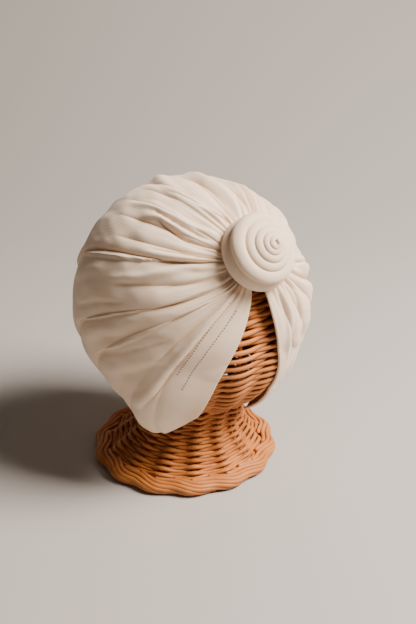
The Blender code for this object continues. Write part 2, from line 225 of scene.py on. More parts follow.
# %% The fan of creases
CREASES = np.array(
    (
        # rim, near, far, hem azimuth, fade, depth, reach
        (160.0, 158.0, 155.5, 34.0, 1.00, 0.00, 0.50),
        (137.0, 131.5, 133.0, 57.0, 1.00, 0.36, 0.70),
        (132.0, 123.0, 124.0, 78.0, 0.62, 0.50, 0.80),
        (125.5, 108.5, 104.0, 104.0, 1.00, 0.45, 0.60),
        (117.0, 96.5, 87.5, 127.0, 1.00, 0.70, 0.60),
        (100.0, 82.0, 72.0, 139.0, 0.42, 0.45, 0.80),
        (82.0, 63.5, 53.0, 148.0, 1.00, 0.80, 0.60),
        (75.0, 55.0, 45.0, 153.0, 0.40, 0.36, 0.90),
        (63.0, 42.5, 36.0, 157.0, 0.42, 0.55, 0.90),
        (51.0, 31.5, 27.0, 161.0, 0.44, 0.42, 0.95),
        (30.0, 22.0, 19.0, 166.0, 0.40, 0.30, 0.80),
        (11.0, 14.5, 12.0, 172.0, 0.60, 0.45, 0.75),
        (3.0, -2.0, -3.0, 181.0, 0.45, 0.55, 0.90),
        (-13.0, -15.0, -13.0, 187.0, 0.40, 0.30, 0.80),
        (-25.0, -25.0, -21.0, 192.0, 0.36, 0.40, 0.80),
        (-37.0, -34.0, -29.0, 196.0, 0.30, 0.40, 0.80),
        (-50.0, -44.0, -38.0, 201.0, 0.60, 0.60, 0.90),
        (-63.0, -55.0, -47.0, 206.0, 0.46, 0.50, 0.80),
        (-76.0, -67.0, -56.0, 211.0, 0.50, 0.60, 0.80),
        (-89.0, -79.0, -66.0, 218.0, 1.00, 0.80, 0.60),
        (-102.0, -93.0, -82.0, 231.0, 0.46, 0.45, 0.80),
        (-114.0, -108.0, -100.0, 249.0, 1.00, 0.65, 0.60),
        (-126.0, -123.0, -120.0, 274.0, 0.60, 0.48, 0.80),
        (-139.0, -139.0, -138.0, 300.0, 0.80, 0.60, 0.80),
        (-152.0, -154.0, -153.0, 321.0, 0.90, 0.45, 0.80),
        (-168.0, -166.0, -164.0, 337.0, 1.00, 0.00, 0.50),
    )
)
HEM = np.array(
    (
        # azimuth, drop and reach as shares of the crown's radius
        (34.0, 0.800, 0.795),
        (46.0, 0.905, 0.775),
        (54.0, 0.975, 0.758),
        (62.0, 0.985, 0.742),
        (70.0, 0.965, 0.728),
        (77.0, 0.885, 0.712),
        (85.0, 0.812, 0.705),
        (100.0, 0.786, 0.703),
        (135.0, 0.786, 0.697),
        (180.0, 0.772, 0.690),
        (225.0, 0.786, 0.697),
        (260.0, 0.786, 0.703),
        (278.0, 0.806, 0.703),
        (292.0, 0.846, 0.676),
        (304.0, 0.886, 0.622),
        (316.0, 0.940, 0.570),
        (326.0, 0.990, 0.530),
        (333.0, 1.018, 0.535),
        (337.0, 1.015, 0.528),
    )
)
PANELS = len(CREASES) - 1
FAN_AT = math.degrees(math.asin(0.037 / 0.145))
GATHER_AT = math.degrees(math.asin(0.016 / 0.145))


def hem_vectors(azimuth):
    around = np.radians(azimuth)
    drop = np.interp(azimuth, HEM[:, 0], HEM[:, 1])
    reach = np.interp(azimuth, HEM[:, 0], HEM[:, 2])
    hem = np.stack((-np.sin(around) * reach, -np.cos(around) * reach, -drop), axis=-1)
    return hem * CROWN_RADIUS


def fan(panels, alongs):
    """Unit vectors for every row of alongs and every line of panels, and the hem vectors."""
    at = np.arange(PANELS + 1)
    rim, near, far, azimuth = (np.interp(panels, at, CREASES[:, i]) for i in range(4))
    hem = hem_vectors(azimuth)
    end = unit(hem)
    start_at = np.full_like(panels, FAN_AT)
    third = (np.degrees(np.arccos(end @ COIL_AXIS)) - FAN_AT) / 3.0
    start = round_coil(rim, start_at)
    one, two = round_coil(near, start_at + third), round_coil(far, start_at + 2 * third)
    t = 3.0 * alongs[:, None, None]
    lines = (
        (1 - t) * (2 - t) * (3 - t) / 6 * start
        + t * (2 - t) * (3 - t) / 2 * one
        + t * (t - 1) * (3 - t) / 2 * two
        + t * (t - 1) * (t - 2) / 6 * end
    )
    inner = np.radians(FAN_AT + (FAN_AT - GATHER_AT) * np.minimum(alongs, 0.0))
    outward = unit(start - (start @ COIL_AXIS)[:, None] * COIL_AXIS)
    gathered = (
        np.cos(inner)[:, None, None] * COIL_AXIS + np.sin(inner)[:, None, None] * outward
    )
    return unit(np.where(alongs[:, None, None] < 0.0, gathered, lines)), hem


# %% [markdown]
# ## The cloth's shape
#
# A cloth simulation could gather this cap, but its folds would fall where they like, and
# these folds are known. So the sheet is a grid whose columns run along the fan, and numpy
# moves all its points at once. First come the CAD model's own creases, cut sharper. Then
# single folds are laid over them, each along its own path.

# %% The cloth's shape
COLUMNS_PER_PANEL, ROWS, GATHER_ROWS = 20, 190, 5
CREASE_DEPTH, CLOTH, FIT_GAP = 0.0042, 0.0016, 0.0003
BALL_RADIUS, BALL_HEIGHT = 0.066, 0.1015

step = np.arange(PANELS * COLUMNS_PER_PANEL + 1) / COLUMNS_PER_PANEL
whole = np.minimum(np.floor(step), PANELS - 1)
inside = step - whole
crowded = inside - 0.09 * np.sin(2 * math.pi * inside)
PANEL_AT = whole + crowded
ALONG_AT = np.concatenate(
    (np.linspace(-1, 0, GATHER_ROWS, endpoint=False), np.linspace(0, 1, ROWS))
)

toward, hem = fan(PANEL_AT, ALONG_AT)
crease_lines, _ = fan(np.arange(PANELS + 1.0), ALONG_AT)
AWAY, TURN = from_coil(toward)


def groove(index, distance, width):
    """How deep the creases with these numbers cut, at a distance from their lines."""
    fade, depth, reach = (CREASES[index, i] for i in (4, 5, 6))
    along = ALONG_AT[:, None]
    strength = np.where(fade < 1.0, ease((fade - along) / (0.35 * fade)), 1.0)
    strength = strength * (0.45 + 0.55 * ease(along / 0.22))
    near = np.clip(1.0 - distance / (reach * width), 0.0, 1.0)
    return CREASE_DEPTH * depth * strength * (0.65 * near**2 + 0.35 * near**7)


low = whole.astype(int)
neighbours = np.clip(np.sum(crease_lines[:, :-1] * crease_lines[:, 1:], axis=2), -1.0, 1.0)
width = np.maximum(np.arccos(neighbours) * CROWN_RADIUS, 1e-9)[:, low]
creases = groove(low, crowded * width, width) + groove(low + 1, (1.0 - crowded) * width, width)
print("deepest crease, mm:", round(float(creases.max()) * 1000, 2))


# %% Single folds
LIP_EDGE = 0.0012


def fold(path, amount, half_width, begins, ends, side):
    """A ridge, or a valley if amount is below 0, along a path of (away, turn) angles.

    A side of 1 or -1 keeps only the slope on that side of the path, so that the cloth stands
    over the path like a lip.
    """
    path = np.array(path)
    at = np.interp(AWAY, path[:, 0], path[:, 1])
    off = (TURN - at + 180.0) % 360.0 - 180.0
    off = np.radians(off) * np.sin(np.radians(AWAY)) * CROWN_RADIUS
    strength = ease((AWAY - begins[0]) / max(begins[1] - begins[0], 1e-6))
    strength = strength * (1.0 - ease((AWAY - ends[0]) / max(ends[1] - ends[0], 1e-6)))
    near = np.clip(1.0 - np.abs(off) / half_width, 0.0, 1.0)
    if side:
        steep = np.clip(1.0 - np.abs(off) / LIP_EDGE, 0, 1)
        shape = np.where(off * side > 0.0, near**2, steep**2)
    elif amount < 0.0:
        shape = near**3
    else:
        shape = ease(near)
    return amount * strength * shape


# Each row: path of (away, turn), height, half width, begins, ends, side
FOLDS = (
    # The two rolled pleats over the upper side, each with a deep valley under it
    (((17, 42), (29, 45), (40, 38), (53, 34), (69, 33)), 0.0018, 0.0048, (13, 22), (52, 74), 0),
    (
        ((15, 53), (24, 51), (34, 46), (41, 42), (51, 37), (67, 36)),
        -0.0017, 0.0038, (13, 20), (44, 62), 0,
    ),
    (((16, 55), (28, 53), (38, 46), (47, 42)), 0.0018, 0.0040, (13, 20), (44, 58), 0),
    (((15, 61), (24, 60), (32, 57), (39, 50), (46, 44)), -0.0016, 0.0030, (13, 18), (42, 56), 0),
    # The long sharp pleat that crosses the side
    (
        ((15, 82), (36, 73), (50, 70), (69, 64), (102, 53)),
        0.0021, 0.0090, (14, 30), (112, 122), -1,
    ),
    (((14, 92), (29, 81), (51, 80), (69, 75)), 0.0016, 0.0040, (14, 30), (58, 76), 0),
    (((16, 78), (32, 69), (47, 64)), -0.0012, 0.0028, (13, 18), (38, 52), 0),
    (((15, 100), (26, 98), (40, 91)), -0.0013, 0.0032, (13, 18), (34, 48), 0),
    (
        ((15, 117), (29, 106), (41, 102), (56, 97), (72, 92), (102, 86)),
        0.0018, 0.0085, (14, 40), (100, 115), -1,
    ),
    (
        ((14, 126), (32, 115), (45, 110), (56, 109), (69, 107), (91, 104)),
        0.0015, 0.0065, (14, 34), (84, 104), -1,
    ),
    (
        ((19, 133), (37, 128), (46, 128), (61, 129), (79, 130)),
        0.0016, 0.0042, (14, 30), (84, 104), 0,
    ),
    (
        ((18, 137), (37, 131.5), (46, 131), (61, 132), (79, 133)),
        -0.0010, 0.0014, (14, 20), (80, 100), 0,
    ),
    (((58, 124), (78, 116), (98, 112)), 0.0011, 0.0060, (56, 68), (88, 104), 0),
    (((52, 119), (70, 112), (92, 106)), -0.0010, 0.0045, (50, 62), (84, 100), 0),
    (((66, 101), (84, 95), (104, 93)), 0.0010, 0.0060, (62, 74), (96, 110), 0),
    (((60, 91), (78, 84), (100, 80)), -0.0009, 0.0050, (56, 68), (92, 108), 0),
    (((70, 70), (88, 66), (104, 64)), 0.0009, 0.0060, (64, 76), (96, 110), 0),
    # Ridges over the top, the first two of which break the outline there
    (
        ((23, -14), (28, -12.5), (37, -8.5), (50, -7), (64, -10), (80, -13)),
        0.0020, 0.0070, (14, 26), (74, 96), 0,
    ),
    (
        ((19, 8), (22, 14.5), (32, 21), (44, 21), (57, 15), (71, 8), (84, 2)),
        0.0018, 0.0070, (14, 26), (80, 104), 0,
    ),
    (((17, 9), (25, 17.5), (33, 21), (41, 21)), -0.0018, 0.0022, (14, 18), (38, 56), 0),
    (((24, -24), (30, -22.5), (36, -24), (49, -23)), 0.0019, 0.0036, (14, 20), (44, 60), 0),
    (((25, -16.5), (35, -13.7), (47, -12.3)), 0.0012, 0.0026, (14, 20), (40, 54), 0),
    (((27, -33), (35, -32.7), (46, -31)), 0.0018, 0.0036, (14, 20), (44, 60), 0),
    (((22, -20), (34, -18.5), (44, -17)), -0.0014, 0.0022, (14, 18), (36, 50), 0),
    (((22, -28), (35, -28), (46, -27)), -0.0014, 0.0022, (14, 18), (38, 52), 0),
    (((20, 3), (29, 4), (39, 2), (51, -1)), -0.0012, 0.0030, (14, 20), (44, 58), 0),
    # The puff beside the coil on the wearer's left, and the pleats under it
    (((20, -100), (40, -105)), 0.0036, 0.0075, (25, 32), (36, 44), 0),
    (((42, -101), (66, -110)), -0.0055, 0.0110, (38, 46), (58, 72), 0),
    (((23, -132), (53, -143)), -0.0020, 0.0034, (14, 22), (56, 72), 0),
    (((23, -149), (53, -158)), 0.0012, 0.0040, (14, 22), (60, 80), 0),
)
single = np.zeros_like(AWAY)
for path, amount, half_width, begins, ends, side in FOLDS:
    single += fold(path, amount, half_width, begins, ends, side)
print(len(FOLDS), "single folds, mm:", round(float(np.ptp(single)) * 1000, 2))


# %% [markdown]
# Between the big folds, the thread that draws the cloth in leaves many small pleats near the
# coil. Cloth that is pushed together has round tops and sharp valleys, and the absolute value
# of smooth noise has the same form. The noise is read in fan coordinates, so its streaks
# follow the lines. A second, slower noise gives the slack cloth its soft dents.


# %% Small pleats and slack
def noise_grid(across_scale, along_scale, seed, grid_panel, grid_along):
    cells = np.empty((len(grid_along), len(grid_panel)))
    for row, along in enumerate(grid_along):
        for column, panel in enumerate(grid_panel):
            place = Vector((panel * across_scale, along * along_scale, seed))
            cells[row, column] = noise.noise(place)
    return cells


pleats = np.abs(noise_grid(1.9, 2.2, 3.7, PANEL_AT, ALONG_AT))
pleats_reach = 1.0 - ease((AWAY - 17.0) / 34.0)
slack = noise_grid(0.85, 7.0, 11.3, PANEL_AT, ALONG_AT)
fine_slack = noise_grid(1.7, 15.0, 19.1, PANEL_AT, ALONG_AT)
slack_reach = ease((AWAY - 30.0) / 35.0)
small = 0.0034 * (pleats - 0.25) * pleats_reach
small += slack_reach * (0.0012 * slack + 0.0006 * fine_slack)
print("small pleats, mm:", round(float(np.ptp(small)) * 1000, 2))

# %% The crown's points
SEAT_AT, DIP = 0.052, 0.0034
along = ALONG_AT[:, None]
radial = np.radians(AWAY) * CROWN_RADIUS
out_of_seat = ease((radial - 0.008) / (SEAT_AT - 0.016) * 2)
reach = CROWN_RADIUS - DIP * (1.0 - out_of_seat)
edge = np.minimum(PANEL_AT, PANELS - PANEL_AT)
reach = reach - 0.0026 * (1.0 - ease(edge / 1.5)) * out_of_seat
reach = reach - creases
# The crown is a little flatter over the top, and behind the coil, on the wearer's left, it sags
TOP_FLAT, SIDE_SAG = 0.0017, 0.0040
over_top = ease(1.0 - np.abs(TURN + 30.0) / 60.0) * ease(1.0 - np.abs(AWAY - 62.0) / 34.0)
reach = reach - TOP_FLAT * over_top
behind_coil = ease(1.0 - np.abs(TURN + 90.0) / 28.0) * ease(1.0 - np.abs(AWAY - 56.0) / 30.0)
reach = reach - SIDE_SAG * behind_coil
hang = ease((along - 0.54) / 0.46)
quiet_hem = 1.0 - 0.75 * ease((along - 0.80) / 0.2)
quiet_edge = ease(edge / 0.8)
reach = reach + (single + small) * quiet_hem * quiet_edge
reach = reach + (np.linalg.norm(hem, axis=1) - CROWN_RADIUS) * hang
rise = BALL_HEIGHT - CROWN_CENTRE[2]
skin = rise * toward[..., 2] + np.sqrt(BALL_RADIUS**2 - rise**2 * (1.0 - toward[..., 2] ** 2))
closest = skin + FIT_GAP + 1.25 * CLOTH
reach = np.maximum(reach, closest)
crown_points = CROWN_CENTRE + toward * reach[..., None]


def smoothed_across(rows, half):
    padded = np.pad(rows, ((0, 0), (half + 1, half)), mode="edge").cumsum(axis=1)
    return (padded[:, 2 * half + 1 :] - padded[:, : -2 * half - 1]) / (2 * half + 1)


# From 0 to 1, how far each point lies below the cloth around it: the mask of painted valley shade
VALLEY_SHADE_MASK = np.clip((smoothed_across(reach, 8) - reach) / 0.0009, 0.0, 1.0)
print("crown, mm:", [round(float(v) * 1000, 1) for v in np.ptp(crown_points, axis=(0, 1))])

# %% [markdown]
# ## Finishes
#
# Three surfaces need a finish: the jersey, the jersey of the tight coil, and peeled willow.
# What they share is built once as shader node groups: a soft blotching of the colour, and the
# knit. Numbers that don't change over the surface stay on the Principled shader itself.


# %% Node helpers
class Bench:
    """A short hand for laying nodes in one tree."""

    def __init__(self, tree):
        self.tree = tree

    def add(self, kind, **settings):
        node = self.tree.nodes.new(kind)
        for name, value in settings.items():
            setattr(node, name, value)
        return node

    def set(self, socket, value):
        if isinstance(value, bpy.types.NodeSocket):
            self.tree.links.new(value, socket)
        elif value is not None:
            socket.default_value = value

    def math(self, operation, first, second=None, third=None):
        node = self.add("ShaderNodeMath", operation=operation)
        for socket, value in zip(node.inputs, (first, second, third)):
            self.set(socket, value)
        return node.outputs[0]

    def noise(self, vector, scale, detail, roughness=0.5):
        node = self.add("ShaderNodeTexNoise")
        self.set(node.inputs["Vector"], vector)
        self.set(node.inputs["Scale"], scale)
        self.set(node.inputs["Detail"], detail)
        self.set(node.inputs["Roughness"], roughness)
        return node.outputs["Fac"]

    def mix(self, share, first, second):
        node = self.add("ShaderNodeMix", data_type="RGBA")
        self.set(node.inputs["Factor"], share)
        self.set(node.inputs["A"], first)
        self.set(node.inputs["B"], second)
        return node.outputs["Result"]

    def span(self, value, low, high, new_low=0.0, new_high=1.0):
        node = self.add("ShaderNodeMapRange")
        for socket, given in zip(node.inputs, (value, low, high, new_low, new_high)):
            self.set(socket, given)
        return node.outputs["Result"]


def node_group(name, inputs, outputs):
    group = bpy.data.node_groups.new(name, "ShaderNodeTree")
    for direction, sockets in (("INPUT", inputs), ("OUTPUT", outputs)):
        for label, kind, default in sockets:
            socket = group.interface.new_socket(label, in_out=direction, socket_type=kind)
            if default is not None:
                socket.default_value = default
    bench = Bench(group)
    return group, bench, bench.add("NodeGroupInput"), bench.add("NodeGroupOutput")


def place_group(bench, group, **values):
    node = bench.add("ShaderNodeGroup", node_tree=group)
    for label, value in values.items():
        bench.set(node.inputs[label], value)
    return node


FLOAT, COLOUR, VECTOR = "NodeSocketFloat", "NodeSocketColor", "NodeSocketVector"

# %% The blotching group
blotching, bench, given, out = node_group(
    "soft_blotching",
    (
        ("Place", VECTOR, None),
        ("Scale", FLOAT, 60.0),
        ("Light", COLOUR, (1.0, 1.0, 1.0, 1.0)),
        ("Dark", COLOUR, (0.5, 0.5, 0.5, 1.0)),
    ),
    (("Colour", COLOUR, None), ("Mask", FLOAT, None)),
)
broad = bench.noise(given.outputs["Place"], given.outputs["Scale"], 4.0)
mask = bench.span(broad, 0.34, 0.68)
bench.set(out.inputs["Mask"], mask)
bench.set(
    out.inputs["Colour"], bench.mix(mask, given.outputs["Dark"], given.outputs["Light"])
)

# %% The knit group
knit, bench, given, out = node_group(
    "jersey_knit",
    (("Wale", FLOAT, 0.0008), ("Course", FLOAT, 0.0006)),
    (("Height", FLOAT, None), ("Painted knit shade", FLOAT, None)),
)
where = bench.add("ShaderNodeUVMap", uv_map="cloth")
parts = bench.add("ShaderNodeSeparateXYZ")
bench.set(parts.inputs[0], where.outputs[0])
wales = bench.math("DIVIDE", parts.outputs[0], given.outputs["Wale"])
in_wale = bench.math("ABSOLUTE", bench.math("SINE", bench.math("MULTIPLY", wales, math.pi)))
courses = bench.math("DIVIDE", parts.outputs[1], given.outputs["Course"])
slanted = bench.math("ADD", courses, bench.math("MULTIPLY", in_wale, 0.6))
loops = bench.math("SINE", bench.math("MULTIPLY", slanted, 2 * math.pi))
height = bench.math("ADD", in_wale, bench.math("MULTIPLY", loops, 0.22))
bench.set(out.inputs["Height"], height)
# Painted shade: this mask darkens the colour in the knit's valleys between the wales
bench.set(out.inputs["Painted knit shade"], bench.math("SUBTRACT", 1.0, in_wale))


# %% The jersey
def jersey(name, light, dark, roughness, wale):
    look = bpy.data.materials.new(name)
    look.use_nodes = True
    bench = Bench(look.node_tree)
    shader = look.node_tree.nodes["Principled BSDF"]
    place = bench.add("ShaderNodeTexCoord")
    blotch = place_group(
        bench, blotching, Place=place.outputs["Object"], Scale=38.0, Light=light, Dark=dark
    )
    loops = place_group(bench, knit, Wale=wale, Course=wale * 0.8)
    # Painted shade: the knit's valleys darken the base colour
    shaded = bench.mix(
        bench.math("MULTIPLY", loops.outputs["Painted knit shade"], 0.22),
        blotch.outputs["Colour"],
        (dark[0] * 0.86, dark[1] * 0.82, dark[2] * 0.76, 1.0),
    )
    # Painted shade: the valley attribute darkens and yellows the base colour in the crown's
    # creases
    sunk = bench.add("ShaderNodeAttribute", attribute_name="valley")
    deep = bench.math("MULTIPLY", sunk.outputs["Fac"], 0.55)
    shaded = bench.mix(deep, shaded, (dark[0] * 0.80, dark[1] * 0.70, dark[2] * 0.56, 1.0))
    bench.set(shader.inputs["Base Color"], shaded)
    fuzz = bench.noise(place.outputs["Object"], 2600.0, 2.0)
    bench.set(
        shader.inputs["Roughness"],
        bench.span(fuzz, 0.3, 0.7, roughness - 0.05, roughness + 0.05),
    )
    shader.inputs["Sheen Weight"].default_value = 0.18
    shader.inputs["Sheen Roughness"].default_value = 0.45
    shader.inputs["Specular IOR Level"].default_value = 0.25
    raised = bench.math("ADD", loops.outputs["Height"], bench.math("MULTIPLY", fuzz, 0.5))
    bump = bench.add("ShaderNodeBump")
    bump.inputs["Strength"].default_value = 0.35
    bump.inputs["Distance"].default_value = 0.00018
    bench.set(bump.inputs["Height"], raised)
    bench.set(shader.inputs["Normal"], bump.outputs["Normal"])
    return look


CREAM_LIGHT, CREAM_DARK = (0.90, 0.72, 0.56, 1.0), (0.84, 0.65, 0.49, 1.0)
crown_jersey = jersey("cream_jersey_knit", CREAM_LIGHT, CREAM_DARK, 0.86, 0.0008)
coil_jersey = jersey("cream_jersey_rolled", CREAM_LIGHT, CREAM_DARK, 0.82, 0.0007)

# %% [markdown]
# ## The crown
#
# The grid becomes one sheet of faces. Its texture coordinates are in metres of cloth, along
# the fan's lines and across them, so the knit runs from the gathers to the hem as it does on
# the real cap.


# %% The crown
def grid_faces(rows, columns):
    corner = np.arange(rows * columns).reshape(rows, columns)
    quads = (corner[:-1, :-1], corner[:-1, 1:], corner[1:, 1:], corner[1:, :-1])
    return np.stack([q.ravel() for q in quads], axis=-1).tolist()


def set_uv(piece, name, uv):
    """uv holds one pair for each of the mesh's points."""
    mesh = piece.data
    corner = np.empty(len(mesh.loops), dtype=np.int32)
    mesh.loops.foreach_get("vertex_index", corner)
    layer = mesh.uv_layers.new(name=name)
    layer.data.foreach_set("uv", np.asarray(uv, dtype=np.float32)[corner].ravel())


rows, columns = crown_points.shape[:2]
crown = build_mesh(
    "crown_jersey", crown_points.reshape(-1, 3), grid_faces(rows, columns), crown_jersey
)
down = np.linalg.norm(np.diff(crown_points, axis=0, prepend=crown_points[:1]), axis=2).cumsum(0)
widest = np.linalg.norm(np.diff(crown_points[rows * 5 // 8], axis=0), axis=1)
round_cap = np.concatenate(((0.0,), widest.cumsum()))
set_uv(
    crown,
    "cloth",
    np.stack((np.broadcast_to(round_cap, down.shape), down), axis=-1).reshape(-1, 2),
)
# The mask of the painted valley shade goes on the mesh
valley = crown.data.attributes.new("valley", "FLOAT", "POINT")
valley.data.foreach_set("value", VALLEY_SHADE_MASK.astype(np.float32).ravel())
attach(crown, "root")
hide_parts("crown")
faces_area = sum(p.area for p in crown.data.polygons)
print(f"crown: {len(crown.data.polygons)} faces, {faces_area * 1e4:.0f} square cm")
to_hem = down[-1].mean()
print(f"round the cap {round_cap[-1] * 1000:.0f} mm, gathers to hem {to_hem * 1000:.0f} mm")

# %% [markdown]
# ## Tubes
#
# The rolled edge of the hem, the coil, the stitches and every willow rod are the same kind
# of thing: a section carried along a line. Blender's curves can do this, but here the section
# has to be flattened and turned to face outward. So one function builds such tubes, and
# another joins many into one mesh, each with its own tint.


# %% Tubes
def tube(line, outward, wide, high, sides=6, closed=False, power=2.0, tint=0.5):
    """A section that is wide across the line and high along outward, carried down the line."""
    line = np.asarray(line, dtype=float)
    count = len(line)
    if closed:
        ahead = np.roll(line, -1, axis=0) - np.roll(line, 1, axis=0)
    else:
        ahead = np.gradient(line, axis=0)
    ahead = unit(ahead)
    outward = np.broadcast_to(np.asarray(outward, dtype=float), line.shape)
    aside = unit(np.cross(ahead, outward))
    outward = np.cross(aside, ahead)
    turn = np.arange(sides) * 2 * math.pi / sides
    bend = 2.0 / power
    x = np.sign(np.cos(turn)) * np.abs(np.cos(turn)) ** bend / 2
    y = np.sign(np.sin(turn)) * np.abs(np.sin(turn)) ** bend / 2
    wide = np.broadcast_to(np.asarray(wide, dtype=float), (count,))
    high = np.broadcast_to(np.asarray(high, dtype=float), (count,))
    points = (
        line[:, None, :]
        + aside[:, None, :] * (x[None, :, None] * wide[:, None, None])
        + outward[:, None, :] * (y[None, :, None] * high[:, None, None])
    )
    length = np.concatenate(((0.0,), np.linalg.norm(np.diff(line, axis=0), axis=1).cumsum()))
    uv = np.stack(np.broadcast_arrays(turn[None, :] / (2 * math.pi), length[:, None]), axis=-1)
    corner = np.arange(count * sides).reshape(count, sides)
    following = np.roll(corner, -1, axis=0) if closed else corner[1:]
    this = corner if closed else corner[:-1]
    quads = (this, np.roll(this, -1, axis=1), np.roll(following, -1, axis=1), following)
    faces = np.stack([q.ravel() for q in quads], axis=-1).tolist()
    if not closed:
        faces.append(corner[0][::-1].tolist())
        faces.append(corner[-1].tolist())
    return points.reshape(-1, 3), faces, uv.reshape(-1, 2), tint


def join_tubes(name, tubes, look, uv_name="rod"):
    points, faces, uvs, tints, start = [], [], [], [], 0
    for tube_points, tube_faces, uv, tint in tubes:
        points.append(tube_points)
        faces.extend([[corner + start for corner in face] for face in tube_faces])
        uvs.append(uv)
        tints.append(np.full(len(tube_points), tint, dtype=np.float32))
        start += len(tube_points)
    piece = build_mesh(name, np.concatenate(points), faces, look)
    set_uv(piece, uv_name, np.concatenate(uvs))
    attribute = piece.data.attributes.new("tint", "FLOAT", "POINT")
    attribute.data.foreach_set("value", np.concatenate(tints))
    triangles = sum(len(p.vertices) - 2 for p in piece.data.polygons)
    print(f"{name}: {len(tubes)} tubes, {triangles} triangles")
    return piece


# %% [markdown]
# ## The hem
#
# The jersey is turned in at its edge and sewn with a twin needle. The fold makes a round
# bead along the edge. The needles leave two rows of short stitches, 7 mm apart, each sunk a
# little between tiny holes. Only the wearer's right side shows its rows in the photo.
# The holes' shade is painted: each is a small dark patch laid on the cloth.

# %% The hem's folded edge
EDGE_BEAD = 0.0017
centre = CROWN_CENTRE
left_edge = crown_points[GATHER_ROWS:, 0]
right_edge = crown_points[GATHER_ROWS:, -1]
bottom_edge = crown_points[-1, 1:-1]
edge_line = np.concatenate((left_edge, bottom_edge, right_edge[::-1]))
edge_out = unit(edge_line - centre)
edge_line = edge_line - edge_out * EDGE_BEAD / 2
hem_bead = join_tubes(
    "hem_folded_edge",
    [tube(edge_line, edge_out, EDGE_BEAD, EDGE_BEAD, sides=8)],
    crown_jersey,
    "cloth",
)
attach(hem_bead, "root")

# %% [markdown]
# The stitches are laid on the finished cloth. A ray from the crown's centre finds the place
# on it for each pair of angles.

# %% The stitches
cloth_tree = BVHTree.FromPolygons(
    [Vector(p) for p in crown_points.reshape(-1, 3)], grid_faces(rows, columns)
)
STITCH_PITCH, STITCH_LONG, STITCH_THICK = 0.0019, 0.0013, 0.00042


def on_cloth(toward):
    place, normal, _, _ = cloth_tree.ray_cast(Vector(CROWN_CENTRE), Vector(toward))
    if place is None:
        return None
    if normal.dot(Vector(toward)) < 0.0:
        normal = -normal
    return np.array(place), np.array(normal)


def even_steps(line, pitch):
    length = np.concatenate(((0.0,), np.linalg.norm(np.diff(line, axis=0), axis=1).cumsum()))
    at = np.arange(pitch / 2, length[-1], pitch)
    return np.stack([np.interp(at, length, line[:, i]) for i in range(3)], axis=-1)


def stitch_row(directions):
    """Short threads laid end to end along unit vectors, and between each two a small dark patch,
    the painted shade of a needle hole.
    """
    threads, hole_shades = [], []
    line = even_steps(CROWN_CENTRE + directions * CROWN_RADIUS, STITCH_PITCH)
    found = [on_cloth(unit(point - CROWN_CENTRE)) for point in line]
    for index in range(1, len(found) - 1):
        before, here, after = found[index - 1], found[index], found[index + 1]
        if before is None or here is None or after is None:
            continue
        heading = unit(after[0] - before[0])
        spread = np.array((-0.5, -0.3, 0.0, 0.3, 0.5))[:, None] * STITCH_LONG * heading
        lift = np.array((-0.16, 0.02, 0.06, 0.02, -0.16))[:, None] * STITCH_THICK * here[1]
        thick = STITCH_THICK * np.array((0.5, 0.95, 1.0, 0.95, 0.5))
        threads.append(tube(here[0] + spread + lift, here[1], thick, thick, tint=0.6))
        # Painted shade: a dark patch between two stitches stands in for the hole's shade
        between = (here[0] + after[0]) / 2 + here[1] * 0.00002
        short = np.array((-0.5, 0.5))[:, None] * 0.0007 * heading
        hole_shades.append(tube(between + short, here[1], 0.0008, 0.0004, tint=0.1))
    return threads, hole_shades


def turned(path):
    path = np.array(path, dtype=float)
    away = np.linspace(path[0, 0], path[-1, 0], 60)
    return round_coil(np.interp(away, path[:, 0], path[:, 1]), away)


stitch_paths = (
    turned(((21, 133), (35, 132.5), (45, 132.3), (57, 133.7), (68, 135))),
    turned(((23, 146), (30, 143), (38, 141), (47, 139.8), (58, 140), (72, 141.2))),
)
threads, hole_shades = [], []
for path in stitch_paths:
    row_threads, row_hole_shades = stitch_row(path)
    threads += row_threads
    hole_shades += row_hole_shades
thread_look = flat_look("cream_thread", (0.74, 0.67, 0.58), 0.6)
# Painted shade: the needle holes' dark colour stands in for the shade inside each hole
hole_shade_look = flat_look("painted_needle_hole_shade", (0.20, 0.13, 0.08), 0.9)
stitches = join_tubes("hem_stitches", threads, thread_look, "cloth")
painted_hole_shades = join_tubes("hem_painted_hole_shades", hole_shades, hole_shade_look, "cloth")
for piece in (stitches, painted_hole_shades):
    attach(piece, "root")

# %% [markdown]
# ## The coil
#
# A long roll of jersey starts behind the coil, climbs onto its face and winds in to the
# middle, each turn against the one before. The turns press each other flat where they touch,
# so the section is a rounded square, slightly too wide, and the grooves stay fine.

# %% The coil
ROLL_THICK, COIL_REACH, COIL_START = 0.0076, 0.0177, math.radians(60.0)
ROLL = np.array(
    (
        # turn, thickness
        (0.00, 0.97),
        (0.62, 0.98),
        (1.00, 0.96),
        (1.33, 0.98),
        (1.60, 0.86),
        (2.00, 0.68),
        (2.33, 0.65),
        (3.33, 0.56),
        (4.33, 0.42),
        (5.33, 0.32),
        (6.40, 0.28),
    )
)
FIRST_TURNS = np.array(
    (
        # turn, reach, height
        (0.00, 0.990, 0.50),
        (0.62, 1.000, 0.50),
        (1.00, 0.985, 1.62),
        (1.33, 0.965, 1.66),
        (1.60, 0.915, 1.72),
        (1.80, 0.815, 1.97),
        (2.00, 0.690, 2.09),
    )
)
POINTS_PER_TURN, DOME_SLOPE, ROLL_GAP = 72, math.radians(35.0), 0.00015


